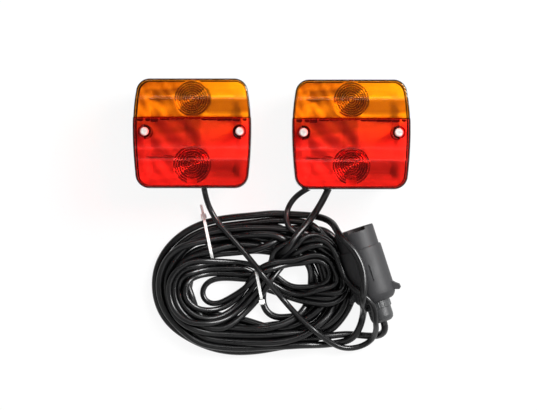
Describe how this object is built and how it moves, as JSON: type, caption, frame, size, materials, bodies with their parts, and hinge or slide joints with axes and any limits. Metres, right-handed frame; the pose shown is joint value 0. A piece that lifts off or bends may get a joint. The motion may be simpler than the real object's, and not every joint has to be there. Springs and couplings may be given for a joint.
{
  "type": "magnetic towing light set",
  "caption": "Pair of square amber and red rear lamps on pot magnets, joined by a cable, with a coiled lead to a seven-pin trailer plug.",
  "frame": {"origin": "midway between the two lamps, on the plane of their magnets' pole faces", "axes": "+Z out of the lens faces, +Y towards the amber sides, +X from the left lamp to the right lamp"},
  "size_m": [0.2486, 0.2464, 0.065],
  "materials": {
    "base_black": "matte black",
    "gasket_rubber": "matte",
    "lens_red": "clear red, glossy",
    "lens_amber": "clear amber, glossy",
    "carrier_white": "semi-gloss",
    "plated_steel": "zinc plated",
    "bulb_cap": "plated",
    "bulb_glass": "clear",
    "brass": "satin",
    "screw_steel": "bright",
    "pot_steel": "zinc plated",
    "ferrite": "matte",
    "plug_grey": "satin dark grey",
    "plug_black": "satin",
    "boot_grey": "satin",
    "cable_black": "glossy black sheath",
    "nylon_white": "semi-gloss white"
  },
  "bodies": {
    "root": {"left_base": "base_black", "left_gasket": "gasket_rubber", "left_lens_red": "lens_red", "left_lens_amber": "lens_amber", "left_reflector": "carrier_white", "left_earth_strip": "plated_steel", "left_indicator_holder": "plated_steel", "left_tail_holder": "plated_steel", "left_indicator_cap": "bulb_cap", "left_tail_cap": "bulb_cap", "left_indicator_glass": "bulb_glass", "left_tail_glass": "bulb_glass", "left_indicator_contact": "brass", "left_tail_contact": "brass", "left_lens_screws": "screw_steel", "left_magnet_cup": "pot_steel", "left_magnet_ring": "ferrite", "left_magnet_bolt": "plated_steel", "left_magnet_nut": "plated_steel", "right_base": "base_black", "right_gasket": "gasket_rubber", "right_lens_red": "lens_red", "right_lens_amber": "lens_amber", "right_reflector": "carrier_white", "right_earth_strip": "plated_steel", "right_indicator_holder": "plated_steel", "right_tail_holder": "plated_steel", "right_indicator_cap": "bulb_cap", "right_tail_cap": "bulb_cap", "right_indicator_glass": "bulb_glass", "right_tail_glass": "bulb_glass", "right_indicator_contact": "brass", "right_tail_contact": "brass", "right_lens_screws": "screw_steel", "right_magnet_cup": "pot_steel", "right_magnet_ring": "ferrite", "right_magnet_bolt": "plated_steel", "right_magnet_nut": "plated_steel", "left_link_grommet": "gasket_rubber", "right_link_grommet": "gasket_rubber", "right_lead_grommet": "gasket_rubber", "plug_shell": "plug_grey", "plug_insert": "plug_black", "plug_pins": "brass", "plug_boot": "boot_grey", "lead_coil": "cable_black", "link_hank": "cable_black", "coil_tie": "nylon_white", "hank_tie": "nylon_white", "link_lead_left": "cable_black", "link_lead_right": "cable_black", "plug_lead_start": "cable_black", "plug_lead_loop": "cable_black", "plug_lead_end": "cable_black"}
  },
  "joints": []
}
